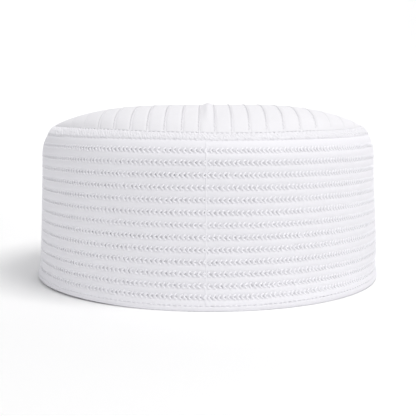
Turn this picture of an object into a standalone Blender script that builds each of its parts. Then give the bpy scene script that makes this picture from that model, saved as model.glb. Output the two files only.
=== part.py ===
"""Quilted prayer cap: a stiff round cap with a ribbed side wall and a channelled, domed crown.

The cap stands on its hem with the crown up. The floor is z = 0, the axis is +Z, and the join of the
side wall faces -Y. Lengths are in metres.
"""

import math

import bmesh
import bpy

MM = 0.001

# Wall outline: radii are to the tops of the ribs
RIM_RADIUS = 92.0 * MM              # the wall's straight taper, carried down to the floor
WALL_TAPER = 2.4 * MM               # how much narrower the wall is where the shoulder starts
SHOULDER_HEIGHT = 66.0 * MM         # where the side starts to curve in
SHOULDER_RISE = 14.0 * MM           # height of the quarter oval that the shoulder follows
HEM_FLARE = 1.1 * MM                # how far the cloth spreads at the floor
HEM_FLARE_HEIGHT = 12.0 * MM
WALL_THICKNESS = 2.2 * MM

# Crown
CROWN_INSET = 7.1 * MM              # from the wall's top radius in to the crown's edge
OVAL_MARGIN = 2.5 * MM              # from the crown's edge in to the middle of the shoulder's oval
CROWN_RISE = 12.2 * MM
CROWN_THICKNESS = 2.0 * MM
CHANNEL_COUNT = 21                  # puffed channels side by side, each running from front to back
CHANNEL_PUFF = 0.5 * MM
CENTRE_CREASE = 0.5 * MM            # ridge along the middle channel
SIDE_ROUNDING = (2.6, 0.68)         # powers of the crown's outline from side to side
FRONT_ROUNDING = (3.0, 0.55)        # powers of its outline along each channel, steeper at the ends

# Embroidered band over the join of wall and crown
BAND_DROP = 3.8 * MM                # height that the band covers below the crown's edge
BAND_THICKNESS = 2.2 * MM

# Hem
HEM_HEIGHT = 3.2 * MM
HEM_THICKNESS = 2.6 * MM
HEM_CORNER = 0.5 * MM

# Sunken rows of stitching around the wall
ROW_COUNT = 13
TOP_ROW_DROP = 4.4 * MM             # from the band's lower edge to the middle of the first row
BOTTOM_ROW_RISE = 3.1 * MM          # from the hem's top to the middle of the last row
ROW_CROWDING = 0.05                 # the lower rows lie this share closer than the upper ones
ROW_SHARE = 0.32                    # flat floor of a row, as a share of the rows' pitch
ROW_DEPTH = 0.5 * MM

# Fit and mesh
FIT_GAP = 0.3 * MM
RING_SEGMENTS = 60
BAND_STEPS = 4
HEM_CORNER_STEPS = 2
CHANNEL_COLUMNS = 3                 # mesh columns in each channel
CROWN_ROWS = 10                     # mesh rows from front to back
MERGE_DISTANCE = 0.001 * MM

# Worked out from the sizes above
WALL_TOP_RADIUS = RIM_RADIUS - WALL_TAPER
CROWN_RADIUS = WALL_TOP_RADIUS - CROWN_INSET
OVAL_WIDTH = CROWN_INSET + OVAL_MARGIN
OVAL_CENTRE = WALL_TOP_RADIUS - OVAL_WIDTH
CHANNEL_PITCH = 2.0 * CROWN_RADIUS / CHANNEL_COUNT

CLOTH_COLOUR = (0.86, 0.86, 0.88, 1.0)
BAND_COLOUR = (0.83, 0.83, 0.86, 1.0)
CROWN_COLOUR = (0.88, 0.88, 0.90, 1.0)
HEM_COLOUR = (0.84, 0.84, 0.86, 1.0)


def oval_angle_at_radius(radius):
    """Angle on the shoulder's oval, up from the horizontal, of the point at a radius."""
    return math.acos((radius - OVAL_CENTRE) / OVAL_WIDTH)


def oval_angle_at_height(height):
    """Angle on the same oval of the point at a height."""
    return math.asin((height - SHOULDER_HEIGHT) / SHOULDER_RISE)


def oval_point(angle, inset=0.0):
    """(radius, height) on the shoulder's oval, or at a depth of inset under its skin."""
    across = math.cos(angle) / OVAL_WIDTH
    up = math.sin(angle) / SHOULDER_RISE
    length = math.hypot(across, up)
    radius = OVAL_CENTRE + OVAL_WIDTH * math.cos(angle) - inset * across / length
    height = SHOULDER_HEIGHT + SHOULDER_RISE * math.sin(angle) - inset * up / length
    return radius, height


def band_angles():
    """Angles of the band's lower and upper edges on the shoulder's oval."""
    upper = oval_angle_at_radius(CROWN_RADIUS)
    lower = oval_angle_at_height(oval_point(upper)[1] - BAND_DROP)
    return lower, upper


def outer_radius(height):
    """Radius of the cap's side at a height, over the ribs."""
    if height > SHOULDER_HEIGHT:
        return oval_point(oval_angle_at_height(height))[0]
    taper = WALL_TAPER * (1.0 - height / SHOULDER_HEIGHT)
    spread = HEM_FLARE * max(0.0, 1.0 - height / HEM_FLARE_HEIGHT) ** 2
    return WALL_TOP_RADIUS + taper + spread


def row_heights():
    """Heights of the middles of the stitched rows, from the top down."""
    lower, upper = band_angles()
    top = oval_point(lower)[1] - TOP_ROW_DROP
    bottom = HEM_HEIGHT + BOTTOM_ROW_RISE
    heights = []
    for row in range(ROW_COUNT):
        share = row / (ROW_COUNT - 1)
        heights.append(top - (top - bottom) * share * (1.0 + ROW_CROWDING * (1.0 - share)))
    return heights


def material(name, colour):
    """A plain matt cloth of one colour."""
    cloth = bpy.data.materials.new(name)
    cloth.use_nodes = True
    shader = cloth.node_tree.nodes["Principled BSDF"]
    shader.inputs["Base Color"].default_value = colour
    shader.inputs["Roughness"].default_value = 0.9
    shader.inputs["Metallic"].default_value = 0.0
    return cloth


def finish_object(name, mesh, colour, collection):
    """Put a mesh in the scene as one named piece with its own material."""
    mesh.materials.append(material(name + "_cloth", colour))
    piece = bpy.data.objects.new(name, mesh)
    collection.objects.link(piece)
    return piece


def turned_ring(name, profile, colour, collection):
    """Turn a closed section of (radius, height) points around the cap's axis."""
    count = len(profile)
    corners = [(radius, 0.0, height) for radius, height in profile]
    edges = [(index, (index + 1) % count) for index in range(count)]
    mesh = bpy.data.meshes.new(name)
    mesh.from_pydata(corners, edges, [])
    piece = finish_object(name, mesh, colour, collection)
    turn = piece.modifiers.new("turn", "SCREW")
    turn.axis = "Z"
    turn.angle = math.tau
    turn.steps = RING_SEGMENTS
    turn.render_steps = RING_SEGMENTS
    turn.use_merge_vertices = True
    turn.merge_threshold = MERGE_DISTANCE
    turn.use_smooth_shade = True
    return piece


def side_wall(collection):
    """The ribbed wall: sunken rows outside, smooth inside, from the hem to the edge band."""
    lower, upper = band_angles()
    skin = oval_point(lower)
    lining = oval_point(lower, WALL_THICKNESS)
    depth = (skin[0] - lining[0], skin[1] - lining[1])
    down = (depth[1] / WALL_THICKNESS * FIT_GAP, -depth[0] / WALL_THICKNESS * FIT_GAP)
    bottom = HEM_HEIGHT + FIT_GAP / 2.0
    rows = row_heights()
    floor = ROW_SHARE * (rows[0] - rows[-1]) / (ROW_COUNT - 1) / 2.0
    profile = [(skin[0] + down[0], skin[1] + down[1])]
    for row, middle in enumerate(rows):
        for height in (middle + floor, middle - floor):
            profile.append((outer_radius(height) - ROW_DEPTH, height))
        below = rows[row + 1] if row + 1 < ROW_COUNT else bottom
        crest = (middle + below) / 2.0
        profile.append((outer_radius(crest), crest))
    profile.append((outer_radius(bottom), bottom))
    for height in (bottom, HEM_FLARE_HEIGHT / 2.0, SHOULDER_HEIGHT):
        profile.append((outer_radius(height) - WALL_THICKNESS, height))
    profile.append(oval_point(lower / 2.0, WALL_THICKNESS))
    profile.append((lining[0] + down[0], lining[1] + down[1]))
    return turned_ring("side_wall", profile, CLOTH_COLOUR, collection)


def edge_band(collection):
    """The embroidered strip that curves over the shoulder, from the wall in to the crown."""
    lower, upper = band_angles()
    flat_share = math.cos(math.pi / RING_SEGMENTS)
    inner_radius = (CROWN_RADIUS + FIT_GAP) / flat_share
    inner = oval_angle_at_radius(inner_radius)
    profile = []
    for step in range(BAND_STEPS + 1):
        profile.append(oval_point(inner + (lower - inner) * step / BAND_STEPS))
    profile.append(oval_point(lower, BAND_THICKNESS))
    profile.append(oval_point((lower + inner) / 2.0, BAND_THICKNESS))
    steepness = (oval_point(inner)[1] - oval_point(inner, BAND_THICKNESS)[1]) / BAND_THICKNESS
    profile.append((inner_radius, oval_point(inner)[1] - BAND_THICKNESS / steepness))
    return turned_ring("edge_band", profile, BAND_COLOUR, collection)


def hem_band(collection):
    """The turned edge that the cap stands on, with a flat underside."""
    top = HEM_HEIGHT - FIT_GAP / 2.0
    profile = [(outer_radius(top), top)]
    for step in range(HEM_CORNER_STEPS + 1):
        angle = math.pi / 2.0 * step / HEM_CORNER_STEPS
        radius = outer_radius(HEM_CORNER) - HEM_CORNER * (1.0 - math.cos(angle))
        profile.append((radius, HEM_CORNER * (1.0 - math.sin(angle))))
    inner = outer_radius(0.0) - HEM_THICKNESS
    profile.append((inner + HEM_CORNER, 0.0))
    profile.append((inner, HEM_CORNER))
    profile.append((outer_radius(top) - HEM_THICKNESS, top))
    return turned_ring("hem_band", profile, HEM_COLOUR, collection)


def rounded_share(share, powers):
    """1 in the middle of a rounded outline and 0 at its ends, where share is -1 or 1."""
    inner_power, outer_power = powers
    return max(0.0, 1.0 - abs(share) ** inner_power) ** outer_power


def crown_height(x, along):
    """Height of the crown at x, where along runs from -1 at the front edge to 1 at the back."""
    front = rounded_share(along, FRONT_ROUNDING)
    dome = CROWN_RISE * rounded_share(x / CROWN_RADIUS, SIDE_ROUNDING)
    puff = CHANNEL_PUFF * abs(math.cos(math.pi * x / CHANNEL_PITCH))
    crease = CENTRE_CREASE * max(0.0, 1.0 - abs(x) / (CHANNEL_PITCH / 2.0))
    return oval_point(oval_angle_at_radius(CROWN_RADIUS))[1] + (dome + puff + crease) * front


def crown_columns():
    """Places of the mesh columns across the crown: even in each channel, with one more at each side."""
    step = CHANNEL_PITCH / CHANNEL_COLUMNS
    columns = [-CROWN_RADIUS + step * index for index in range(CHANNEL_COUNT * CHANNEL_COLUMNS + 1)]
    side = CROWN_RADIUS - step / 4.0
    return sorted(columns + [-side, side])


def crown(collection):
    """The domed top: channels from front to back, puffed between narrow sunken stripes."""
    columns = crown_columns()
    sheet = bmesh.new()
    bmesh.ops.create_grid(sheet, x_segments=len(columns) - 1, y_segments=CROWN_ROWS, size=1.0)
    for vertex in sheet.verts:
        index = round((vertex.co.x + 1.0) / 2.0 * (len(columns) - 1))
        x = columns[index]
        along = math.sin(vertex.co.y * math.pi / 2.0)
        half_chord = math.sqrt(max(0.0, CROWN_RADIUS ** 2 - x * x))
        vertex.co = (x, along * half_chord, crown_height(x, along))
    bmesh.ops.remove_doubles(sheet, verts=sheet.verts, dist=MERGE_DISTANCE)
    mesh = bpy.data.meshes.new("crown")
    sheet.to_mesh(mesh)
    sheet.free()
    mesh.shade_smooth()
    piece = finish_object("crown", mesh, CROWN_COLOUR, collection)
    shell = piece.modifiers.new("thickness", "SOLIDIFY")
    shell.thickness = CROWN_THICKNESS
    shell.offset = -1.0
    return piece


def clear_scene():
    """Remove every object that the scene starts with."""
    for item in list(bpy.data.objects):
        bpy.data.objects.remove(item, do_unlink=True)


def main():
    """Build the four pieces in one collection."""
    clear_scene()
    cap = bpy.data.collections.new("prayer_cap")
    bpy.context.scene.collection.children.link(cap)
    hem_band(cap)
    side_wall(cap)
    edge_band(cap)
    crown(cap)


main()
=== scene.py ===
"""Looks of the quilted prayer cap: ribbed wall, embroidered band, channelled crown and hem.

The cap stands on z = 0 with its axis on +Z and the wall's join towards -Y. Angles around the cap start at
-Y and grow towards +X. The cap's constants without MM are millimetres, shares or factors, and all other
lengths are in metres.
"""

import math

import bpy
import numpy as np
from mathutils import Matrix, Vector


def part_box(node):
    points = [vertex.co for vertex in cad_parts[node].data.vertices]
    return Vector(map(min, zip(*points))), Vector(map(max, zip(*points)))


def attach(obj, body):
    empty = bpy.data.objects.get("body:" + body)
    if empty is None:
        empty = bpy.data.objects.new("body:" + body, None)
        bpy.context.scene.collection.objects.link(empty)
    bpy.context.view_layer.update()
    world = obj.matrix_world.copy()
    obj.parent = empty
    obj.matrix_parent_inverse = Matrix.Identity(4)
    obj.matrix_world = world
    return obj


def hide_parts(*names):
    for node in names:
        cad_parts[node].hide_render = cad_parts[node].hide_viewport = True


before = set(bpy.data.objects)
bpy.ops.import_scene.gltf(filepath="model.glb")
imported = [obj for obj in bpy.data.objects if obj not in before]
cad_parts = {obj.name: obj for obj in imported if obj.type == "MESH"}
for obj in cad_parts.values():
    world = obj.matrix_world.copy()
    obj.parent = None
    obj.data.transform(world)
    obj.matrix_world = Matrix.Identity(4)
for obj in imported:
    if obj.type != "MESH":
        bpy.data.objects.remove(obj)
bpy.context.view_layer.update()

MM = 0.001

# Sizes read from the frame
_, CROWN_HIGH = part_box("crown")
_, BAND_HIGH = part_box("edge_band")
_, HEM_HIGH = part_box("hem_band")
CROWN_RADIUS = CROWN_HIGH.x
CROWN_EDGE_HEIGHT = BAND_HIGH.z
HEM_TOP = HEM_HIGH.z

# Outline of the side: the same driving sizes as the solids
SHOULDER_HEIGHT = 66.0 * MM
SHOULDER_RISE = 14.13 * MM
SHOULDER_ROUNDING = 1.6             # below 2, the shoulder is slimmer than a true oval
CROWN_INSET = 7.1 * MM
OVAL_MARGIN = 2.5 * MM
WALL_TAPER = 2.4 * MM
HEM_FLARE = 1.4 * MM
HEM_FLARE_HEIGHT = 12.0 * MM
WALL_THICKNESS = 2.2 * MM
BAND_DROP = 3.8 * MM
WALL_TOP_RADIUS = CROWN_RADIUS + CROWN_INSET
OVAL_WIDTH = CROWN_INSET + OVAL_MARGIN
OVAL_LIMIT = 0.999                  # share of its rise at which the oval ends, before it lies flat
OVAL_CENTRE = CROWN_RADIUS - OVAL_MARGIN
BAND_TOP_HEIGHT = CROWN_EDGE_HEIGHT - 0.02 * MM
BAND_BOTTOM_HEIGHT = CROWN_EDGE_HEIGHT - BAND_DROP + 0.05 * MM
HEM_LINE_HEIGHT = HEM_TOP - 0.5 * MM

# Threads: angles of a thread's corners, mostly on its upper face, and the step that finds which way is up
THREAD_CORNERS = (-5.0, 55.0, 125.0, 185.0, 270.0)
PROBE = 0.1 * MM
DEPTH_SPREAD = (0.6, 1.1)           # dents and needle holes are this many times as deep as their size says

# Stitched lines along the band and hem: dents in the cloth with a short thread between each two
DENTS = (
    ("share", 0.0, 0.10, 0.34, 0.58, 0.70, 0.85),
    ("depth", 0.0, 1.0, 1.0, 1.0, 0.0, 0.0),
)
DENT_START = 1                      # columns of the table where a dent starts and ends
DENT_END = 3
DENT_STRAY = 0.06
BAND_DENTS = 237
BAND_SHIFT = 0.5 * math.tau / BAND_DENTS
HEM_DENTS = 245
HEM_DENT_LENGTH = 0.7               # length of the hem's dents, as a share of the table's
BAND_TOP_DENT_DEPTH = 0.42 * MM
BAND_LOW_DENT_DEPTH = 0.50 * MM
LEAST_LOW_DENT = 0.6                # between its dents, the band's lower line keeps this share of their depth
HEM_DENT_DEPTH = 0.40 * MM
LINE_LEVEL_STRAY = 0.06
LINE_TILT_STRAY = 0.08
LINE_THREAD = (
    ("share", 0.0, 0.3, 0.7, 1.0),
    ("lift", -0.35, -0.03, -0.03, -0.35),
    ("half_width", 0.16, 0.22, 0.22, 0.16),
    ("half_height", 0.12, 0.14, 0.14, 0.12),
)

# Stitched rows
ROW_COUNT = 13
UPPER_ROWS = 7                      # rows whose stitches are in the upper of the two pieces
TOP_ROW_HEIGHT = CROWN_EDGE_HEIGHT - BAND_DROP - 4.6 * MM
BOTTOM_ROW_HEIGHT = HEM_TOP + 3.1 * MM
ROW_SAG = 1.06 * MM                 # the rows in the middle lie lower than even steps would put them
ROW_SAG_POWERS = (0.75, 8)
STITCHES_PER_ROW = 281
STITCH_PITCH = math.tau / STITCHES_PER_ROW
COLUMNS_PER_STITCH = 3
DRIFT_SPREAD = 0.3                  # share of a stitch by which the stitches of a row drift sideways
DRIFT_WAVES = np.array([3, 5, 7])
PITCH_SWING = 0.05                  # the stitches are longer left of the join and shorter right of it
PITCH_SWING_ANGLE = 0.3
# Section across one row, from its middle to the top of the rib
ROW_SECTION = (
    ("offset", 0.0, 0.90, 1.40, 2.05, 2.7),
    ("depth", 0.24, 0.21, 0.12, 0.03, 0.0),
)
ROW_TIGHTNESS = (1.2, 0.6)          # the rows are deeper than the table at the front, less so at the sides
NEEDLE_HOLE_DEPTH = 0.62 * MM
POINT_BEFORE_HOLE = 0.54            # share of a stitch from an arrow's point to the hole inside it
POINT_OVERLAP = 0.22 * MM           # how far each arm starts before the arrow's point, across the other arm
ARM_REACH = 1.2 * MM                # how far each arm of an arrow stitch runs along and across its row
ARM_ARCH = 0.06
# Unevenness of the arrows: a stitch's place, level and length, then each arm's start, length, reach and arch
STITCH_STRAY = (0.05, 0.10, 0.06)
ARM_STRAY = (0.02, 0.06, 0.06, 0.04)
# Arrow stitch from its point to the tip of an arm
ARM_THREAD = (
    ("share", 0.0, 0.18, 0.52, 0.82, 1.0),
    ("lift", -0.15, -0.09, -0.08, -0.11, -0.22),
    ("half_width", 0.22, 0.40, 0.49, 0.45, 0.28),
    ("half_height", 0.12, 0.16, 0.17, 0.16, 0.11),
)

# Wall: mesh rows under the band and over the hem, the dip beside both lines, and the inside
WALL_TOP_STEPS = (0.0, 0.35, 0.9, 1.7)
WALL_FOOT_STEP = 0.3 * MM
WALL_FOOT_CLEAR = 0.5 * MM
TUCK_WIDTH = 0.6 * MM
DIP_POWER = 1.5                     # a dip or crease rounds off by this power
BAND_TUCK_DEPTH = 0.2 * MM
HEM_TUCK_DEPTH = 0.05 * MM
WALL_LINING_HEIGHTS = (8.0, 25.0, 45.0, 62.0, 69.0, 74.3)
# Join: section around its narrow seam, and how it wanders from top to bottom
JOIN_SECTION = (
    ("offset", -0.52, -0.42, -0.18, 0.18, 0.42, 0.52, 0.0),
    ("lift", -0.25, 0.03, 0.10, 0.10, 0.03, -0.25, -0.6),
)
JOIN_STEP_DOWN = 0.45 * MM
JOIN_TOP_GAP = 0.3 * MM
JOIN_SINK = 0.6                     # the join follows this share of the rows' depth
JOIN_DRIFT = (-0.65, -0.35)         # place of the join's top, and how much further it gets by the foot
JOIN_WAVES = (
    ("size", 0.08, 0.05),
    ("length", 9.0, 3.1),
    ("phase", 0.0, 1.0),
)

# Band
BAND_SHARES = (0.0, 0.03, 0.08, 0.13, 0.18, 0.27, 0.38, 0.5, 0.62, 0.73, 0.82, 0.87, 0.92, 0.97, 1.0)
BAND_LINING_ROWS = 5
BAND_DENT_REACH = 0.16              # share of the band's width that its dents reach in
BAND_FULLNESS = 0.10 * MM
BAND_FULL_START = 0.15
BAND_FULL_RAMP = 0.3
BAND_LOW_TURN = math.asin((BAND_BOTTOM_HEIGHT - SHOULDER_HEIGHT) / SHOULDER_RISE)
BAND_HIGH_TURN = math.asin((BAND_TOP_HEIGHT - SHOULDER_HEIGHT) / SHOULDER_RISE)
# Kinds of embroidery stitch: how many, middle across the band, half reach across it, and run along it
EMBROIDERY = (
    ("count", 480, 400, 400, 300),
    ("middle", 0.50, 0.27, 0.72, 0.5),
    ("reach", 0.30, 0.15, 0.15, 0.12),
    ("run", 1.9, 1.1, 1.0, -1.2),
)
EMBROIDERY_STRAY = (0.22, 0.05)     # of a stitch's place along the band and across it
EMBROIDERY_REACHES = (0.75, 1.2)
EMBROIDERY_RUNS = (0.5, 1.3)
EMBROIDERY_EDGES = (0.08, 0.92)
EMBROIDERY_THREAD = (
    ("share", 0.0, 0.3, 0.7, 1.0),
    ("lift", -0.10, 0.10, 0.10, -0.10),
    ("half_width", 0.18, 0.25, 0.25, 0.18),
    ("half_height", 0.12, 0.22, 0.22, 0.12),
)

# Hem: section at its stitched line, then down its face and under its foot, and its inside
HEM_LINE_SECTION = (
    ("below", 0.0, 0.14, 0.32, 0.5),
    ("depth", 0.05, 0.04, 0.02, 0.0),
    ("dent", 1.0, 1.0, 0.8, 0.0),
)
HEM_FOOT_SECTION = (
    ("height", 1.6, 1.0, 0.55, 0.2, 0.0),
    ("depth", -0.02, 0.05, 0.26, 0.62, 1.15),
    ("dent", 0.0, 0.0, 0.0, 0.0, 0.0),
)
HEM_LINING_HEIGHTS = (0.0, 0.5 * MM, HEM_LINE_HEIGHT)
HEM_LINING_INSETS = (2.1, 2.6, 2.6)

# Crown
CROWN_RISE = 12.2 * MM
CROWN_THICKNESS = 2.0 * MM
LINING_INSET = 0.6                  # share of the thickness by which the crown's inside is smaller
CROWN_TOP_ROWS = 131
CROWN_LINING_ROWS = 25
CHANNEL_COUNT = 21
PLACE_SAMPLES = 2001                # places across the crown that turn crowded into even ones
SIDE_ROUNDING = (3.4, 1.0)
FRONT_ROUNDING = (3.0, 0.55)
EDGE_EASING = (0.7, 2.0 * MM)       # share and reach by which the crown starts less steeply than its rounding
STEEPEST = 1.5                      # the crown's normal never leans more than for this slope
CREASE_HEIGHT = 1.4 * MM
CREASE_HALF_WIDTH = 3.0 * MM
CREASE_END = 14.0 * MM              # the crease fades out over this length before the crown's edge
CHANNEL_PITCH = 2.0 * CROWN_RADIUS / CHANNEL_COUNT
# Section from the middle of a sunken stripe to the middle of a channel
STRIPE_SECTION = (
    ("offset", 0.0, 0.30, 0.56, 0.84, 1.2, 2.0, 2.9, 3.93),
    ("height", -0.07, -0.09, -0.26, -0.05, 0.02, 0.06, 0.08, 0.09),
)
CHANNEL_SHIFT = -0.4 * MM           # the channels lie a little towards -X, and the middle ones are narrower
CHANNEL_CROWDING = 0.7 * MM
CROWDING_WIDTH = 6.0 * MM
EDGE_TUCK_WIDTH = 0.15 * MM
END_FADE = 0.5                      # the outer stripes are shallower by this share, from here over this ramp
END_FADE_START = 50.0 * MM
END_FADE_RAMP = 8.0 * MM
TOP_FADE = 0.4                      # and all are flatter over the top, from here in over this ramp
TOP_FADE_START = 12.0 * MM
TOP_FADE_RAMP = 30.0 * MM
SIDE_COLUMNS = 11
SIDE_MARGINS = (2.0 * MM, 0.12 * MM)    # gaps from the last stripe and from the crown's edge
PLACE_DIGITS = 7                    # mesh columns that agree to this many digits of a metre are one
# Zigzag in each stripe
ZIGZAG_PITCH = 1.15 * MM
ZIGZAG_HALF_WIDTH = 0.504 * MM
ZIGZAG_END_GAP = 0.6 * MM
ZIGZAG_STRAY = (0.08, 0.03)
ZIGZAG_SINK = 0.16                  # a faded stripe's zigzag lies deeper, in mm, and is thinner by a share
ZIGZAG_THINNING = 0.3
ZIGZAG_THREAD = (
    ("share", 0.0, 1.0 / 3.0, 2.0 / 3.0, 1.0),
    ("lift", -0.10, 0.06, 0.06, -0.10),
    ("half_width", 0.16, 0.21, 0.21, 0.16),
    ("half_height", 0.128, 0.168, 0.168, 0.128),
)

# Unevenness of the sewn cloth. A level is a height and the ramp above it
LEAN = math.radians(0.44)           # the rows fall this much towards +X
EDGE_SAG = 0.8 * MM                 # the crown's edge lies lower at the front and back than at the sides
SIDE_BEND = 0.8 * MM                # the rows bend down at the -X side and up at the +X side
LEFT_BEND_LEVEL = (8.0 * MM, 15.0 * MM)
RIGHT_BEND_SHARES = (0.45, 0.55)    # share of the bend at every height, and what the high level adds
HIGH_LEVEL = (60.0 * MM, 16.0 * MM)
EDGE_LEVEL = (76.2 * MM, 3.2 * MM)  # from here up, the crown's edge sets the lift
FRONT_SAG = 0.5 * MM                # the crown's edge hangs this much lower still at the very front
FRONT_SAG_ANGLES = (math.radians(12.0), math.radians(24.0))
SIDE_PEAK = 1.3 * MM                # and rises this much at the +X side
SIDE_PEAK_POWER = 6                 # a higher power keeps such a change nearer to the very side
JOIN_STEP = 0.3 * MM                # the band lies lower just past the join, and less over this angle
JOIN_PLACE = -0.006
JOIN_STEP_ANGLE = math.radians(20.0)
JOIN_STEP_LEVEL = (73.0 * MM, 2.0 * MM)
HEM_BOW = 1.6 * MM                  # the hem's stitched line rises at the sides, less so at the very sides
HEM_BOW_EASING = 0.45
# How much of the hem's bow reaches a height
HEM_BOW_REACH = (
    ("height", 0.0, 2.6, 6.3, 11.5),
    ("share", 0.0, 1.0, 0.5, 0.0),
)
CROWN_FULLNESS = 0.5 * MM           # the crown is fuller on its +X side
FOOT_FULLNESS = 0.6 * MM            # and so is the foot of the wall, between these two levels
FOOT_FULLNESS_POWER = 4
FOOT_LOW_LEVEL = (0.0, 14.0 * MM)
FOOT_HIGH_LEVEL = (22.0 * MM, 34.0 * MM)
HEM_BULGE = 1.1 * MM                # the hem stands out at the front, most at this angle and over this width
HEM_BULGE_ANGLE = math.radians(24.0)
HEM_BULGE_WIDTH = math.radians(36.0)
HEM_PINCH = 0.6 * MM                # and is drawn in on its +X side
HEM_PINCH_POWER = 8
RAISED_LEVEL = (0.0, 20.0 * MM)     # the hem's shape fades out over this level, where the wobble starts
FOOT_LIFT = 0.95 * MM               # the foot stands clear of the floor between these two angles
FOOT_LIFT_ANGLES = (math.radians(-117.0), math.radians(-17.0))
FOOT_LIFT_REACH = 3.0 * MM          # the lift fades out over this height
WOBBLE = 0.15 * MM
RIPPLE_SHARE = 0.35
SWELL_WAVES = (
    ("count", 2.0, 3.0, 5.0),
    ("size", 1.0, 0.7, 0.5),
    ("phase", 0.6, 2.1, 4.0),
)
RIPPLE_WAVES = (
    ("count", 9.0, 14.0),
    ("rise", 11.0, -17.0),
    ("phase", 0.0, 1.3),
)

# Seeds of the random draws
SEED = 11
HOLE_SEED = SEED + 1
UPPER_ROWS_SEED = SEED + 2
LOWER_ROWS_SEED = SEED + 3
BAND_LOW_SEED = SEED + 4
EMBROIDERY_SEED = SEED + 5
BAND_TOP_SEED = SEED + 6
ZIGZAG_SEED = SEED + 7
HEM_SEED = SEED + 8
LINE_THREAD_SEED_STEP = 50

# Materials: scale and detail of each noise, then strength and depth of each bump
WARP_PITCH = 0.42 * MM
WEFT_PITCH = 0.46 * MM
WEAVE_WAVER = 0.6
SLUB = (900.0, 3.0)
WRINKLE = (170.0, 4.0)
MOTTLE = (45.0, 5.0)
TWIST = (2600.0, 2.0)
THREAD_CHANGE = (420.0, 2.0)
WEAVE_BUMP = (0.25, 0.05 * MM)
SLUB_BUMP = (0.4, 0.08 * MM)
WRINKLE_BUMP = (0.8, 0.3 * MM)
TWIST_BUMP = (0.5, 0.08 * MM)
CLOTH_SHADE = 0.95                  # the darker places of the cloth and thread, as a share of their colour
THREAD_SHADE = 0.93
CLOTH_FINISH = (0.88, 0.06)         # roughness and sheen
THREAD_FINISH = (0.55, 0.05)
PAPER_FINISH = (0.9, 0.0)
SHEEN_ROUGHNESS = 0.4
SPECULAR_LEVEL = 0.25

# View and light. The floor runs flat, bends up over a radius and ends in an upright backdrop
IMAGE_SIZE = 416.0
FOCAL_LENGTH = 755.5
SENSOR_WIDTH = 36.0
CAMERA_PLACE = (0.05 * MM, -417.9 * MM, 85.4 * MM)
CAMERA_PITCH = 6.921
NEAREST = 0.01
FLOOR_HALF_WIDTH = 3.0
FLOOR_BACK = 1.2
FLOOR_BEND = 0.8
FLOOR_BEND_START = 0.15
FLOOR_BEND_STEPS = 10
BACKDROP_TOP = 3.0
PAPER_COLOUR = (0.95, 0.95, 0.95)
SKY_COLOUR = (0.98, 0.985, 1.0, 1.0)
SKY_STRENGTH = 0.48
LIGHTS = (
    # name, place, aim, size, power, colour
    ("key", (0.46, -0.31, 1.12), (0.0, 0.0, 0.04), 0.55, 8.8, (1.0, 0.99, 0.98)),
    ("fill", (-0.6, -1.6, 0.36), (0.0, 0.0, 0.04), 1.0, 4.3, (1.0, 1.0, 1.0)),
    ("backdrop_light", (-0.2, 0.95, 1.4), (-0.2, 2.0, 0.6), 1.8, 15.0, (1.0, 1.0, 1.0)),
)


def row_of(table, name):
    """The numbers of one named row of a table."""
    return next(np.array(values) for key, *values in table if key == name)


def columns_of(table):
    """The columns of a table with named rows, one tuple each."""
    return zip(*(row[1:] for row in table))


def smooth(x):
    """0 below 0, 1 above 1, and a soft ramp between."""
    x = np.clip(x, 0.0, 1.0)
    return x * x * (3.0 - 2.0 * x)


def above_level(height, level):
    """0 below a level's height, 1 above its ramp, and soft between."""
    start, ramp = level
    return smooth((height - start) / ramp)


def section(table, offset):
    """Read a section's second row, in metres, at an offset in metres in its first row."""
    (_, *places), (_, *values) = table
    return np.interp(offset, np.array(places) * MM, np.array(values) * MM)


def oval_radius(height):
    """Radius of the shoulder's quarter oval at a height."""
    rise = np.clip((height - SHOULDER_HEIGHT) / SHOULDER_RISE, 0.0, OVAL_LIMIT)
    return OVAL_CENTRE + OVAL_WIDTH * np.sqrt(1.0 - rise ** SHOULDER_ROUNDING)


def side_radius(height):
    """Radius of the cap's side at a height, over the ribs."""
    taper = WALL_TAPER * (1.0 - height / SHOULDER_HEIGHT)
    spread = HEM_FLARE * np.clip(1.0 - height / HEM_FLARE_HEIGHT, 0.0, 1.0) ** 2
    return np.where(height > SHOULDER_HEIGHT, oval_radius(height), WALL_TOP_RADIUS + taper + spread)


def side_point(angle, height, lift):
    """Points on the side, lift metres proud of its skin along the skin's normal."""
    angle, height, lift = np.broadcast_arrays(angle, height, lift)
    step = 0.05 * MM
    slope = (side_radius(height + step) - side_radius(height - step)) / (2.0 * step)
    length = np.sqrt(1.0 + slope * slope)
    radius = side_radius(height) + lift / length
    rise = height - lift * slope / length
    return np.stack([radius * np.sin(angle), -radius * np.cos(angle), rise], -1)


def rounded_share(share, powers):
    """1 in the middle of a rounded outline and 0 at its ends, where share is -1 or 1."""
    inner_power, outer_power = powers
    return np.clip(1.0 - np.abs(share) ** inner_power, 0.0, 1.0) ** outer_power


def crown_share(x, y):
    """How far along its channel a point lies: -1 at the front edge, 1 at the back."""
    least = 0.1 * MM
    half_chord = np.sqrt(np.clip(CROWN_RADIUS ** 2 - x * x, least ** 2, None))
    return np.clip(y / half_chord, -1.0, 1.0)


def dome_height(x, y):
    """Height of the crown's plain dome."""
    along = crown_share(x, y)
    share, reach = EDGE_EASING
    easing = 1.0 - share * np.exp(-(1.0 - np.abs(along)) * CROWN_RADIUS / reach)
    across = rounded_share(x / CROWN_RADIUS, SIDE_ROUNDING)
    return CROWN_EDGE_HEIGHT + CROWN_RISE * across * rounded_share(along, FRONT_ROUNDING) * easing


def crowded(even):
    """Place across the crown of a line that an even pitch would put at even."""
    share = even / CROWN_RADIUS
    shift = CHANNEL_SHIFT - CHANNEL_CROWDING * np.tanh(even / CROWDING_WIDTH)
    return even + shift * (1.0 - share * share)


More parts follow.
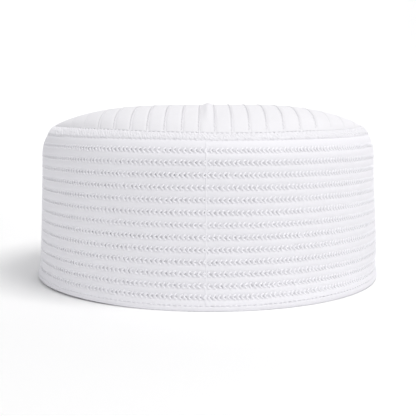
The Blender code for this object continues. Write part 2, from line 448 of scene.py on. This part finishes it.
EVEN_PLACES = np.linspace(-CROWN_RADIUS, CROWN_RADIUS, PLACE_SAMPLES)
CROWDED_PLACES = crowded(EVEN_PLACES)


def end_fade(even):
    """By what share a stripe is shallower because it lies near the crown's -X or +X end."""
    return END_FADE * smooth((np.abs(even) - END_FADE_START) / END_FADE_RAMP)


def crown_relief(x, y):
    """How far the crown stands out from its dome: channels, sunken stripes and middle crease."""
    even = np.interp(x, CROWDED_PLACES, EVEN_PLACES)
    from_channel = np.abs((even + CHANNEL_PITCH / 2.0) % CHANNEL_PITCH - CHANNEL_PITCH / 2.0)
    relief = section(STRIPE_SECTION, CHANNEL_PITCH / 2.0 - from_channel)
    relief = relief * (1.0 - end_fade(even))
    to_edge = CROWN_RADIUS - np.hypot(x, y)
    relief = relief * (1.0 - TOP_FADE * smooth((to_edge - TOP_FADE_START) / TOP_FADE_RAMP))
    crease = CREASE_HEIGHT * np.clip(1.0 - np.abs(x) / CREASE_HALF_WIDTH, 0.0, 1.0) ** DIP_POWER
    return relief * smooth(to_edge / EDGE_TUCK_WIDTH) + crease * smooth(to_edge / CREASE_END)


def crown_point(x, y, lift):
    """Points on the crown, lift metres proud of its face along the dome's normal."""
    x, y, lift = np.broadcast_arrays(x, y, lift)
    step = 0.2 * MM
    slope_x = (dome_height(x + step, y) - dome_height(x - step, y)) / (2.0 * step)
    slope_y = (dome_height(x, y + step) - dome_height(x, y - step)) / (2.0 * step)
    slope_x = np.clip(slope_x, -STEEPEST, STEEPEST)
    slope_y = np.clip(slope_y, -STEEPEST, STEEPEST)
    length = np.sqrt(1.0 + slope_x ** 2 + slope_y ** 2)
    lift = (lift + crown_relief(x, y)) / length
    return np.stack([x - lift * slope_x, y - lift * slope_y, dome_height(x, y) + lift], -1)


def side_lift(angle, sine, height, high):
    """How far the bends of the rows, the band's edge and the hem's bow lift a place on the side."""
    everywhere, higher = RIGHT_BEND_SHARES
    reach = np.where(sine < 0.0, above_level(height, LEFT_BEND_LEVEL), everywhere + higher * high)
    bend = SIDE_BEND * sine * np.abs(sine) * reach
    at_front = 1.0 - above_level(np.abs(angle), FRONT_SAG_ANGLES)
    edge = SIDE_PEAK * np.clip(sine, 0.0, 1.0) ** SIDE_PEAK_POWER - FRONT_SAG * at_front
    upper = above_level(height, EDGE_LEVEL)
    past_join = np.where(angle > JOIN_PLACE, np.exp(-np.clip(angle, 0.0, None) / JOIN_STEP_ANGLE), 0.0)
    step = -JOIN_STEP * past_join * above_level(height, JOIN_STEP_LEVEL)
    bow_reach = np.interp(height / MM, row_of(HEM_BOW_REACH, "height"), row_of(HEM_BOW_REACH, "share"))
    bow = HEM_BOW * sine ** 2 * (1.0 - HEM_BOW_EASING * sine ** 2) * bow_reach
    return bend * (1.0 - upper) + edge * upper + step + bow


def wobble(angle, height, raised):
    """A soft unevenness of the wall's plan: a slow swell and a finer ripple."""
    swell = sum(size * np.sin(count * angle + phase) for count, size, phase in columns_of(SWELL_WAVES))
    ripple = sum(
        np.sin(count * angle + height / (rise * MM) + phase)
        for count, rise, phase in columns_of(RIPPLE_WAVES)
    )
    return WOBBLE * (swell * raised + RIPPLE_SHARE * ripple * raised)


def settle(points):
    """Shift points by the cap's small unevenness: lean, bends, fuller places and a soft wobble."""
    x, y, z = points[..., 0], points[..., 1], points[..., 2]
    radius = np.hypot(x, y) + 1e-9
    angle = np.arctan2(x, -y)
    sine = x / radius
    right = np.clip(sine, 0.0, 1.0)
    rim_share = np.clip(radius / CROWN_RADIUS, 0.0, 1.0) ** 2
    raised = above_level(z, RAISED_LEVEL)
    high = above_level(z, HIGH_LEVEL)
    lift = -LEAN * x * raised * rim_share + EDGE_SAG * (sine ** 2 - 0.5) * high * rim_share
    lift = lift + side_lift(angle, sine, z, high) * rim_share
    over_edge = smooth((z - CROWN_EDGE_HEIGHT) / MM)
    lift = lift + CROWN_FULLNESS * (x / CROWN_RADIUS) * (1.0 - rim_share) * over_edge
    first, last = FOOT_LIFT_ANGLES
    gap = FOOT_LIFT * np.sin(np.clip((angle - first) / (last - first), 0.0, 1.0) * math.pi)
    lift = lift + gap * np.clip(1.0 - z / FOOT_LIFT_REACH, 0.0, 1.0)
    push = wobble(angle, z, raised) * rim_share
    low = above_level(z, FOOT_LOW_LEVEL) * (1.0 - above_level(z, FOOT_HIGH_LEVEL))
    push = push + FOOT_FULLNESS * right ** FOOT_FULLNESS_POWER * low
    bulge = HEM_BULGE * np.exp(-((angle - HEM_BULGE_ANGLE) / HEM_BULGE_WIDTH) ** 2)
    push = push + (bulge - HEM_PINCH * right ** HEM_PINCH_POWER) * (1.0 - raised)
    moved = points.copy()
    moved[..., 0] += push * x / radius
    moved[..., 1] += push * y / radius
    moved[..., 2] += lift
    return moved


def new_piece(name, points, faces, nodes, cloth):
    """Make one visible piece from points and faces, riding on the cap and standing for CAD nodes."""
    mesh = bpy.data.meshes.new(name)
    mesh.from_pydata(points.reshape(-1, 3).tolist(), [], faces)
    mesh.shade_smooth()
    mesh.materials.append(cloth)
    piece = bpy.data.objects.new(name, mesh)
    bpy.context.scene.collection.objects.link(piece)
    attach(piece, "root")
    if nodes:
        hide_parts(*nodes)


def loop_faces(columns, rows, ring):
    """Quads between closed loops of points: the loops form a ring, or a row with closed ends."""
    column = np.arange(columns if ring else columns - 1)[:, None]
    row = np.arange(rows)[None, :]
    after = (column + 1) % columns
    above = (row + 1) % rows
    corners = [column * rows + row, column * rows + above, after * rows + above, after * rows + row]
    if ring:
        return np.stack(corners, -1).reshape(-1, 4).tolist()
    quads = np.stack(corners[::-1], -1).reshape(-1, 4).tolist()
    first_end = list(range(rows))
    last_end = list(range((columns - 1) * rows, columns * rows))
    return quads + [first_end, last_end[::-1]]


def row_heights():
    """Heights of the middles of the stitched rows, from the top down."""
    share = np.arange(ROW_COUNT) / (ROW_COUNT - 1)
    first, last = ROW_SAG_POWERS
    sag = ROW_SAG * share ** first * (1.0 - share ** last)
    return TOP_ROW_HEIGHT - (TOP_ROW_HEIGHT - BOTTOM_ROW_HEIGHT) * share - sag


ROW_HEIGHTS = row_heights()


def make_drift():
    """Slow sideways drift of the stitches in each row, as three waves around the cap."""
    random = np.random.default_rng(SEED)
    size = random.normal(0.0, DRIFT_SPREAD, (ROW_COUNT, 3)) * math.tau / STITCHES_PER_ROW
    phase = random.uniform(0.0, math.tau, (ROW_COUNT, 3))
    return size, phase


DRIFT_SIZE, DRIFT_PHASE = make_drift()


def stitch_angle(turn, height):
    """Angle around the cap of a place in the stitching: turn is the even angle, height picks the row."""
    turn, height = np.broadcast_arrays(turn, height)
    waves = DRIFT_WAVES * turn[..., None]
    drifts = [(DRIFT_SIZE[row] * np.sin(waves + DRIFT_PHASE[row])).sum(-1) for row in range(ROW_COUNT)]
    drifts = np.stack(drifts, -1)
    place = np.interp(-height, -ROW_HEIGHTS, np.arange(ROW_COUNT))
    low = np.clip(np.floor(place).astype(int), 0, ROW_COUNT - 2)
    share = place - low
    before = np.take_along_axis(drifts, low[..., None], -1)[..., 0]
    after = np.take_along_axis(drifts, low[..., None] + 1, -1)[..., 0]
    swing = PITCH_SWING * np.sin(2.0 * (turn + PITCH_SWING_ANGLE))
    return turn + swing + before * (1.0 - share) + after * share


def node_material(name, colour, finish):
    """A Principled material of one colour and finish, for the caller to add to."""
    cloth = bpy.data.materials.new(name)
    cloth.use_nodes = True
    tree = cloth.node_tree
    shader = tree.nodes["Principled BSDF"]
    roughness, sheen = finish
    shader.inputs["Base Color"].default_value = (*colour, 1.0)
    shader.inputs["Roughness"].default_value = roughness
    shader.inputs["Sheen Weight"].default_value = sheen
    shader.inputs["Sheen Roughness"].default_value = SHEEN_ROUGHNESS
    shader.inputs["Specular IOR Level"].default_value = SPECULAR_LEVEL
    return cloth, tree, shader


def add_node(tree, kind, inputs, **settings):
    """Add a node, set its properties, and fill or link its inputs."""
    node = tree.nodes.new(kind)
    for key, value in settings.items():
        setattr(node, key, value)
    for key, value in inputs.items():
        if isinstance(value, bpy.types.NodeSocket):
            tree.links.new(value, node.inputs[key])
        else:
            node.inputs[key].default_value = value
    return node


def add_math(tree, operation, first, second):
    """One step of arithmetic on two sockets or numbers."""
    return add_node(tree, "ShaderNodeMath", {0: first, 1: second}, operation=operation).outputs[0]


def add_noise(tree, place, noise):
    """A noise of a scale and detail at a place on the cloth."""
    scale, detail = noise
    inputs = {"Vector": place, "Scale": scale, "Detail": detail}
    return add_node(tree, "ShaderNodeTexNoise", inputs).outputs["Fac"]


def add_bump(tree, height, bump, under=None):
    """A bump of a strength and depth, over another where one is given."""
    strength, depth = bump
    inputs = {"Height": height, "Strength": strength, "Distance": depth}
    if under:
        inputs["Normal"] = under
    return add_node(tree, "ShaderNodeBump", inputs).outputs[0]


def add_tint(tree, shader, colour, shade, pattern):
    """Let the colour swing between its own value and a darker one."""
    tint = add_node(tree, "ShaderNodeMix", {"Factor": pattern}, data_type="RGBA")
    tint.inputs[6].default_value = (*(channel * shade for channel in colour), 1.0)
    tint.inputs[7].default_value = (*colour, 1.0)
    tree.links.new(tint.outputs[2], shader.inputs["Base Color"])


def cloth_place(tree):
    """The object's own coordinates."""
    return add_node(tree, "ShaderNodeTexCoord", {}).outputs["Object"]


def wrapped_place(tree, plain):
    """Place on the cloth as (length around the cap, height)."""
    parts = add_node(tree, "ShaderNodeSeparateXYZ", {0: plain}).outputs
    turn = add_math(tree, "ARCTAN2", parts["X"], parts["Y"])
    length = add_math(tree, "MULTIPLY", turn, WALL_TOP_RADIUS)
    return add_node(tree, "ShaderNodeCombineXYZ", {0: length, 1: parts["Z"]}).outputs[0]


def threads_across(tree, place, axis, pitch):
    """Fine parallel threads along one axis of the cloth, as heights between 0 and 1."""
    return add_node(
        tree,
        "ShaderNodeTexWave",
        {"Vector": place, "Scale": 1.0 / (pitch * math.pi * 2.0), "Distortion": WEAVE_WAVER, "Detail": 1.0},
        wave_type="BANDS",
        bands_direction=axis,
        wave_profile="SIN",
    ).outputs["Fac"]


def cloth_material(name, colour, wrapped):
    """White cotton: a plain weave, slubs and soft wrinkles as bump, and a faint unevenness of colour."""
    cloth, tree, shader = node_material(name, colour, CLOTH_FINISH)
    plain = cloth_place(tree)
    place = wrapped_place(tree, plain) if wrapped else plain
    warp = threads_across(tree, place, "X", WARP_PITCH)
    weft = threads_across(tree, place, "Y", WEFT_PITCH)
    weave = add_math(tree, "MAXIMUM", warp, weft)
    add_tint(tree, shader, colour, CLOTH_SHADE, add_noise(tree, plain, MOTTLE))
    fine = add_bump(tree, weave, WEAVE_BUMP)
    rough = add_bump(tree, add_noise(tree, place, SLUB), SLUB_BUMP, fine)
    soft = add_bump(tree, add_noise(tree, plain, WRINKLE), WRINKLE_BUMP, rough)
    tree.links.new(soft, shader.inputs["Normal"])
    return cloth


def thread_material(name, colour):
    """Bright embroidery thread: a soft gloss, a fine twist as bump and a faint change between stitches."""
    cloth, tree, shader = node_material(name, colour, THREAD_FINISH)
    plain = cloth_place(tree)
    add_tint(tree, shader, colour, THREAD_SHADE, add_noise(tree, plain, THREAD_CHANGE))
    bump = add_bump(tree, add_noise(tree, plain, TWIST), TWIST_BUMP)
    tree.links.new(bump, shader.inputs["Normal"])
    return cloth


WALL_CLOTH = cloth_material("wall_cotton", (0.87, 0.863, 0.90), True)
BAND_CLOTH = cloth_material("band_cotton", (0.855, 0.848, 0.88), True)
HEM_CLOTH = cloth_material("hem_cotton", (0.855, 0.848, 0.885), True)
# The crown's cotton is darker than the wall's cotton: this is painted shade that offsets the stronger light
# falling on the top.
CROWN_CLOTH_PAINTED_SHADE = cloth_material("crown_cotton_painted_shade", (0.83, 0.823, 0.85), False)
WALL_COTTON_THREAD = thread_material("wall_thread", (0.93, 0.923, 0.96))
BAND_COTTON_THREAD = thread_material("band_thread", (0.885, 0.878, 0.91))
# The crown's thread is darker than the crown's cloth: this is painted shade for the sunken stripes that it
# lies in.
CROWN_THREAD_PAINTED_SHADE = thread_material("crown_thread_painted_shade", (0.79, 0.783, 0.81))


def wall_levels():
    """Heights of the wall's outer mesh rows, from the top down."""
    places = row_of(ROW_SECTION, "offset") * MM
    heights = [BAND_BOTTOM_HEIGHT - step * MM for step in WALL_TOP_STEPS]
    for row, middle in enumerate(ROW_HEIGHTS):
        heights += [middle + place for place in places[-2:0:-1]]
        heights += [middle - place for place in places[:-1]]
        if row + 1 < ROW_COUNT:
            heights.append((middle + ROW_HEIGHTS[row + 1]) / 2.0)
    foot = HEM_LINE_HEIGHT
    heights = [height for height in heights if height > foot + WALL_FOOT_CLEAR]
    return np.array(heights + [foot + WALL_FOOT_STEP, foot])


def tuck(height, edge, depth):
    """How far the cloth dips beside a stitched line at an edge height."""
    return depth * np.clip(1.0 - np.abs(height - edge) / TUCK_WIDTH, 0.0, 1.0) ** DIP_POWER


def row_tightness(angle):
    """How deep the rows are pulled in at an angle, as a factor of their section."""
    front, less = ROW_TIGHTNESS
    return front - less * np.sin(angle) ** 2


def wall_piece():
    """The side wall's cloth: ribs, sunken rows with needle holes, and a smooth inside."""
    outer = wall_levels()[None, :]
    columns = STITCHES_PER_ROW * COLUMNS_PER_STITCH
    turn = (np.arange(columns) / columns * math.tau - math.pi)[:, None]
    angle = stitch_angle(turn, outer)
    tight = row_tightness(angle)
    from_row = np.abs(ROW_HEIGHTS[:, None] - outer).min(0)[None, :]
    depth = section(ROW_SECTION, from_row) * tight + tuck(outer, BAND_BOTTOM_HEIGHT, BAND_TUCK_DEPTH)
    depth = depth + tuck(outer, HEM_LINE_HEIGHT, HEM_TUCK_DEPTH)
    middle = from_row < 0.01 * MM
    at_hole = (np.arange(columns) % COLUMNS_PER_STITCH == 0)[:, None]
    random = np.random.default_rng(HOLE_SEED)
    hole = NEEDLE_HOLE_DEPTH * random.uniform(*DEPTH_SPREAD, angle.shape)
    depth = depth + np.where(middle & at_hole, hole * tight ** 2, 0.0)
    skin = side_point(angle, outer, -depth)
    inner = np.array([HEM_LINE_HEIGHT, *(height * MM for height in WALL_LINING_HEIGHTS)])
    lining = side_point(stitch_angle(turn, inner), inner, -WALL_THICKNESS)
    points = settle(np.concatenate([skin, lining], 1))
    faces = loop_faces(columns, points.shape[1], True)
    new_piece("wall_cloth", points, faces, ["side_wall"], WALL_CLOTH)


def thread_piece(name, path, up, half_width, half_height, thread):
    """Join many threads in one mesh. path and up are (thread, ring, 3) arrays, both sizes (thread, ring)."""
    along = np.gradient(path, axis=1)
    along /= np.linalg.norm(along, axis=-1, keepdims=True)
    across = np.cross(along, up)
    count, rings = path.shape[:2]
    around = np.radians(THREAD_CORNERS)[None, None, :, None]
    sides = len(THREAD_CORNERS)
    wide = (np.cos(around) * across[:, :, None, :]) * half_width[:, :, None, None]
    tall = (np.sin(around) * up[:, :, None, :]) * half_height[:, :, None, None]
    points = settle(path[:, :, None, :] + wide + tall)
    ring = np.arange(rings - 1)[:, None] * sides
    side = np.arange(sides)[None, :]
    after = (side + 1) % sides
    quads = np.stack([ring + side, ring + sides + side, ring + sides + after, ring + after], -1)
    start = (np.arange(count) * rings * sides)[:, None]
    faces = (quads.reshape(-1, 4) + start[:, None]).reshape(-1, 4).tolist()
    first = (side + start).tolist()
    last = (side[:, ::-1] + (rings - 1) * sides + start).tolist()
    new_piece(name, points, faces + first + last, [], thread)


def side_threads(name, starts, ends, table, bow, thread):
    """Threads laid over the side between (angle, height) starts and ends, arched between their ends."""
    share = row_of(table, "share")[None, :]
    angle = starts[0][:, None] * (1.0 - share) + ends[0][:, None] * share
    rise = starts[1][:, None] * (1.0 - share) + ends[1][:, None] * share
    rise = rise + bow[:, None] * np.sin(share * math.pi)
    lift = row_of(table, "lift") * MM
    path = side_point(angle, rise, lift)
    up = (side_point(angle, rise, lift + PROBE) - path) / PROBE
    half_width = np.broadcast_to(row_of(table, "half_width") * MM, angle.shape)
    half_height = np.broadcast_to(row_of(table, "half_height") * MM, angle.shape)
    thread_piece(name, path, up, half_width, half_height, thread)


def chevrons(name, rows, seed):
    """The arrow stitches of some rows: from a point at the left, one arm up and one arm down."""
    random = np.random.default_rng(seed)
    place_stray, level_stray, length_stray = STITCH_STRAY
    start_stray, own_length_stray, reach_stray, arch_stray = ARM_STRAY
    point_turn = np.arange(STITCHES_PER_ROW) * STITCH_PITCH - math.pi - STITCH_PITCH * POINT_BEFORE_HOLE
    overlap = POINT_OVERLAP / WALL_TOP_RADIUS
    reach = ARM_REACH / WALL_TOP_RADIUS
    starts, ends, bows = [[], []], [[], []], []
    for row in rows:
        both = random.normal(0.0, 1.0, (3, STITCHES_PER_ROW))
        angle = stitch_angle(point_turn + STITCH_PITCH * place_stray * both[0], ROW_HEIGHTS[row])
        rise = ROW_HEIGHTS[row] + level_stray * MM * both[1]
        for way in (1.0, -1.0):
            own = random.normal(0.0, 1.0, (4, STITCHES_PER_ROW))
            starts[0].append(angle + start_stray * STITCH_PITCH * own[0] - overlap)
            starts[1].append(rise - way * POINT_OVERLAP)
            ends[0].append(angle + reach * (1.0 + length_stray * both[2] + own_length_stray * own[1]))
            ends[1].append(rise + way * ARM_REACH * (1.0 + reach_stray * own[2]))
            bows.append((way * ARM_ARCH + arch_stray * own[3]) * MM)
    starts = [np.concatenate(part) for part in starts]
    ends = [np.concatenate(part) for part in ends]
    side_threads(name, starts, ends, ARM_THREAD, np.concatenate(bows), WALL_COTTON_THREAD)


def dented_line(count, seed, squeeze=1.0):
    """Angles of the mesh columns along a stitched line and depths of its dents, each (dent, column)."""
    random = np.random.default_rng(seed)
    step = math.tau / count
    start = (np.arange(count) + random.uniform(-DENT_STRAY, DENT_STRAY, count)) * step - math.pi
    turn = start[:, None] + row_of(DENTS, "share") * step * squeeze
    deep = row_of(DENTS, "depth") * random.uniform(*DEPTH_SPREAD, (count, 1))
    return turn, deep


def line_threads(name, height, count, seed, shift, thread, squeeze=1.0):
    """The short threads between the dents of a stitched line, sunk at both ends."""
    turn, _ = dented_line(count, seed, squeeze)
    starts = turn[:, DENT_END] + shift
    ends = np.roll(turn[:, DENT_START], -1) + shift
    ends[-1] += math.tau
    random = np.random.default_rng(seed + LINE_THREAD_SEED_STEP)
    level = height + random.normal(0.0, LINE_LEVEL_STRAY, count) * MM
    tilt = random.normal(0.0, LINE_TILT_STRAY, count) * MM
    straight = np.zeros(count)
    side_threads(name, (starts, level - tilt), (ends, level + tilt), LINE_THREAD, straight, thread)


def band_height(share):
    """Height on the shoulder at a share across the band, from its top edge down."""
    return SHOULDER_HEIGHT + SHOULDER_RISE * np.sin(BAND_HIGH_TURN + (BAND_LOW_TURN - BAND_HIGH_TURN) * share)


def band_piece():
    """The embroidered band's cloth over the shoulder, dented along both of its stitched lines."""
    top_turn, top_dents = (part.reshape(-1, 1) for part in dented_line(BAND_DENTS, BAND_TOP_SEED))
    low_turn, low_dents = (part.reshape(-1, 1) for part in dented_line(BAND_DENTS, BAND_LOW_SEED))
    share = np.array(BAND_SHARES)
    turn = top_turn * (1.0 - share) + (low_turn + BAND_SHIFT) * share
    top_depth = BAND_TOP_DENT_DEPTH * smooth(1.0 - share / BAND_DENT_REACH) * top_dents
    low_depth = BAND_LOW_DENT_DEPTH * smooth(1.0 - (1.0 - share) / BAND_DENT_REACH)
    low_depth = low_depth * np.maximum(low_dents, LEAST_LOW_DENT)
    full = smooth(np.minimum(share + BAND_FULL_START, 1.0 - share) / BAND_FULL_RAMP)
    skin = side_point(turn, band_height(share), BAND_FULLNESS * full - top_depth - low_depth)
    inner = np.linspace(BAND_BOTTOM_HEIGHT, BAND_TOP_HEIGHT, BAND_LINING_ROWS)
    upward = np.linspace(0.0, 1.0, BAND_LINING_ROWS)
    lining = side_point(low_turn * upward[::-1] + top_turn * upward, inner, -WALL_THICKNESS)
    points = settle(np.concatenate([skin, lining], 1))
    faces = loop_faces(*points.shape[:2], True)
    new_piece("band_cloth", points, faces, ["edge_band"], BAND_CLOTH)


def band_embroidery():
    """Dense, uneven slanting stitches over the band: mostly falling to the right, and short crossings."""
    random = np.random.default_rng(EMBROIDERY_SEED)
    along_stray, across_stray = EMBROIDERY_STRAY
    starts, ends = [[], []], [[], []]
    for count, middle, reach, run in columns_of(EMBROIDERY):
        step = math.tau / count
        turn = np.arange(count) * step - math.pi + random.normal(0.0, along_stray, count) * step
        place = middle + random.normal(0.0, across_stray, count)
        half = reach * random.uniform(*EMBROIDERY_REACHES, count)
        across = run * random.uniform(*EMBROIDERY_RUNS, count) * MM / WALL_TOP_RADIUS
        for part, way in ((starts, -1.0), (ends, 1.0)):
            part[0].append(turn + way * 0.5 * across)
            part[1].append(band_height(np.clip(place + way * half, *EMBROIDERY_EDGES)))
    starts = [np.concatenate(part) for part in starts]
    ends = [np.concatenate(part) for part in ends]
    straight = np.zeros(len(starts[0]))
    side_threads(
        "band_embroidery", starts, ends, EMBROIDERY_THREAD, straight, BAND_COTTON_THREAD
    )


def hem_piece():
    """The turned hem: a rounded strip under its stitched line, flat where it stands."""
    turn, dents = (part.reshape(-1, 1) for part in dented_line(HEM_DENTS, HEM_SEED, HEM_DENT_LENGTH))
    at_line = HEM_LINE_HEIGHT - row_of(HEM_LINE_SECTION, "below") * MM
    outer = np.concatenate([at_line, row_of(HEM_FOOT_SECTION, "height") * MM])
    parts = (HEM_LINE_SECTION, HEM_FOOT_SECTION)
    depth = np.concatenate([row_of(part, "depth") for part in parts]) * MM
    dent = HEM_DENT_DEPTH * np.concatenate([row_of(part, "dent") for part in parts])
    skin = side_point(turn, outer, -depth - dent * dents)
    skin[:, -1, 2] = 0.0
    inner = np.array(HEM_LINING_HEIGHTS)
    lining = side_point(turn, inner, -np.array(HEM_LINING_INSETS) * MM)
    lining[..., 2] = inner
    points = settle(np.concatenate([skin, lining], 1))
    faces = loop_faces(*points.shape[:2], True)
    new_piece("hem_cloth", points, faces, ["hem_band"], HEM_CLOTH)


def crown_columns():
    """Places of the mesh columns across the crown: close beside each stitched line and at the sides."""
    columns = {0.0}
    stripes = np.arange(CHANNEL_COUNT + 1) * CHANNEL_PITCH - CROWN_RADIUS
    for stripe in stripes[1:-1]:
        for offset in row_of(STRIPE_SECTION, "offset")[:-1]:
            columns.add(round(stripe + offset * MM, PLACE_DIGITS))
            columns.add(round(stripe - offset * MM, PLACE_DIGITS))
    columns.update(round((a + b) / 2.0, PLACE_DIGITS) for a, b in zip(stripes[1:-2], stripes[2:-1]))
    from_stripe, from_edge = SIDE_MARGINS
    inward = stripes[-2] + from_stripe
    reach = CROWN_RADIUS - from_edge - inward
    for side in (-1.0, 1.0):
        for share in np.linspace(0.0, 1.0, SIDE_COLUMNS):
            place = side * (inward + reach * math.sin(share * math.pi / 2.0))
            columns.add(round(place, PLACE_DIGITS))
    return crowded(np.array(sorted(columns)))


def crown_piece():
    """The crown's quilted cloth: channels and stripes outside, a plainer face inside."""
    x = crown_columns()[:, None]
    half_chord = np.sqrt(CROWN_RADIUS ** 2 - x * x)
    top_share = np.sin(np.linspace(-1.0, 1.0, CROWN_TOP_ROWS) * math.pi / 2.0)[None, :]
    top = crown_point(x, top_share * half_chord, 0.0)
    under_share = np.sin(np.linspace(1.0, -1.0, CROWN_LINING_ROWS) * math.pi / 2.0)[None, :]
    smaller = 1.0 - CROWN_THICKNESS / CROWN_RADIUS * LINING_INSET
    rise = rounded_share(x / CROWN_RADIUS, SIDE_ROUNDING) * rounded_share(under_share, FRONT_ROUNDING)
    under_z = CROWN_EDGE_HEIGHT + CROWN_RISE * rise - CROWN_THICKNESS
    under = np.broadcast_arrays(x * smaller, under_share * half_chord * smaller, under_z)
    points = settle(np.concatenate([top, np.stack(under, -1)], 1))
    faces = loop_faces(*points.shape[:2], False)
    new_piece("crown_cloth", points, faces, ["crown"], CROWN_CLOTH_PAINTED_SHADE)


def crown_stitches():
    """A zigzag of small stitches along every sunken stripe of the crown, from line to line."""
    random = np.random.default_rng(ZIGZAG_SEED)
    along_stray, across_stray = ZIGZAG_STRAY
    starts, ends, fades = [], [], []
    even = np.arange(1, CHANNEL_COUNT) * CHANNEL_PITCH - CROWN_RADIUS
    for stripe, fade in zip(crowded(even), end_fade(even)):
        reach = math.sqrt(CROWN_RADIUS ** 2 - stripe * stripe) - ZIGZAG_END_GAP
        count = int(2.0 * reach / ZIGZAG_PITCH)
        turns = np.arange(count + 1)
        y = (turns - count / 2.0) * ZIGZAG_PITCH + random.normal(0.0, along_stray, count + 1) * MM
        side = np.where(turns % 2 == 0, -ZIGZAG_HALF_WIDTH, ZIGZAG_HALF_WIDTH)
        corners = np.stack([stripe + side + random.normal(0.0, across_stray, count + 1) * MM, y], -1)
        starts.append(corners[:-1])
        ends.append(corners[1:])
        fades.append(np.full(count, fade))
    fades = np.concatenate(fades)[:, None]
    share = row_of(ZIGZAG_THREAD, "share")[None, :, None]
    place = np.concatenate(starts)[:, None] * (1.0 - share) + np.concatenate(ends)[:, None] * share
    base = crown_point(place[..., 0], place[..., 1], 0.0)
    up = (crown_point(place[..., 0], place[..., 1], PROBE) - base) / PROBE
    lift = (row_of(ZIGZAG_THREAD, "lift") - ZIGZAG_SINK * fades) * MM
    thinner = (1.0 - ZIGZAG_THINNING * fades) * MM
    half_width = row_of(ZIGZAG_THREAD, "half_width") * thinner
    half_height = row_of(ZIGZAG_THREAD, "half_height") * thinner
    path = base + up * lift[..., None]
    thread_piece("crown_stitches", path, up, half_width, half_height, CROWN_THREAD_PAINTED_SHADE)


def wall_join():
    """The narrow raised seam where the wall's two ends meet, from the band down to the hem."""
    heights = np.arange(BAND_BOTTOM_HEIGHT - JOIN_TOP_GAP, HEM_TOP, -JOIN_STEP_DOWN)[:, None]
    from_row = np.abs(ROW_HEIGHTS[None, :] - heights).min(1)[:, None]
    depth = section(ROW_SECTION, from_row) * JOIN_SINK
    at_top, lower = JOIN_DRIFT
    wander = (at_top + lower * (1.0 - heights / BAND_BOTTOM_HEIGHT)) * MM
    for size, length, phase in columns_of(JOIN_WAVES):
        wander = wander + size * MM * np.sin(heights / (length * MM) + phase)
    angle = (wander + row_of(JOIN_SECTION, "offset") * MM) / WALL_TOP_RADIUS
    points = settle(side_point(angle, heights, row_of(JOIN_SECTION, "lift") * MM - depth))
    faces = loop_faces(*points.shape[:2], False)
    new_piece("wall_join", points, faces, [], WALL_CLOTH)


def camera():
    """A camera at the photograph's viewing angle."""
    lens = bpy.data.cameras.new("photo_view")
    lens.sensor_width = SENSOR_WIDTH
    lens.lens = FOCAL_LENGTH / IMAGE_SIZE * lens.sensor_width
    lens.clip_start = NEAREST
    view = bpy.data.objects.new("photo_view", lens)
    view.location = CAMERA_PLACE
    view.rotation_euler = (math.radians(90.0 - CAMERA_PITCH), 0.0, 0.0)
    bpy.context.scene.collection.objects.link(view)
    bpy.context.scene.camera = view


def area_light(name, place, aim, size, power, colour):
    """A square soft light at a place, turned to its aim."""
    lamp = bpy.data.lights.new(name, "AREA")
    lamp.shape = "SQUARE"
    lamp.size = size
    lamp.energy = power
    lamp.color = colour
    holder = bpy.data.objects.new(name, lamp)
    holder.location = place
    holder.visible_camera = False
    holder.rotation_euler = (Vector(aim) - Vector(place)).to_track_quat("-Z", "Y").to_euler()
    bpy.context.scene.collection.objects.link(holder)


def studio_floor():
    """A pale floor that curves up behind the cap."""
    side = [(-FLOOR_HALF_WIDTH, 0.0), (FLOOR_BACK, 0.0)]
    for turn in np.linspace(FLOOR_BEND_START, math.pi / 2.0, FLOOR_BEND_STEPS):
        side.append((FLOOR_BACK + FLOOR_BEND * math.sin(turn), FLOOR_BEND * (1.0 - math.cos(turn))))
    side.append((FLOOR_BACK + FLOOR_BEND, BACKDROP_TOP))
    points = [(x, y, z) for y, z in side for x in (-FLOOR_HALF_WIDTH, FLOOR_HALF_WIDTH)]
    faces = [(2 * i, 2 * i + 1, 2 * i + 3, 2 * i + 2) for i in range(len(side) - 1)]
    mesh = bpy.data.meshes.new("floor")
    mesh.from_pydata(points, [], faces)
    mesh.shade_smooth()
    paper, _, _ = node_material("studio_paper", PAPER_COLOUR, PAPER_FINISH)
    mesh.materials.append(paper)
    floor = bpy.data.objects.new("floor", mesh)
    bpy.context.scene.collection.objects.link(floor)


def studio_light():
    """A soft key at the upper right, a low fill, a lit backdrop and an even sky."""
    sky = bpy.data.worlds.new("sky")
    sky.use_nodes = True
    background = sky.node_tree.nodes["Background"]
    background.inputs["Color"].default_value = SKY_COLOUR
    background.inputs["Strength"].default_value = SKY_STRENGTH
    bpy.context.scene.world = sky
    for light in LIGHTS:
        area_light(*light)
    bpy.context.scene.view_settings.view_transform = "Standard"


camera()
studio_floor()
studio_light()
wall_piece()
wall_join()
chevrons("wall_stitches_upper", range(UPPER_ROWS), UPPER_ROWS_SEED)
chevrons("wall_stitches_lower", range(UPPER_ROWS, ROW_COUNT), LOWER_ROWS_SEED)
band_piece()
band_embroidery()
line_threads(
    "band_lower_stitches",
    BAND_BOTTOM_HEIGHT,
    BAND_DENTS,
    BAND_LOW_SEED,
    BAND_SHIFT,
    BAND_COTTON_THREAD,
)
line_threads(
    "band_upper_stitches",
    BAND_TOP_HEIGHT,
    BAND_DENTS,
    BAND_TOP_SEED,
    0.0,
    BAND_COTTON_THREAD,
)
hem_piece()
line_threads(
    "hem_stitches",
    HEM_LINE_HEIGHT,
    HEM_DENTS,
    HEM_SEED,
    0.0,
    WALL_COTTON_THREAD,
    HEM_DENT_LENGTH,
)
crown_piece()
crown_stitches()
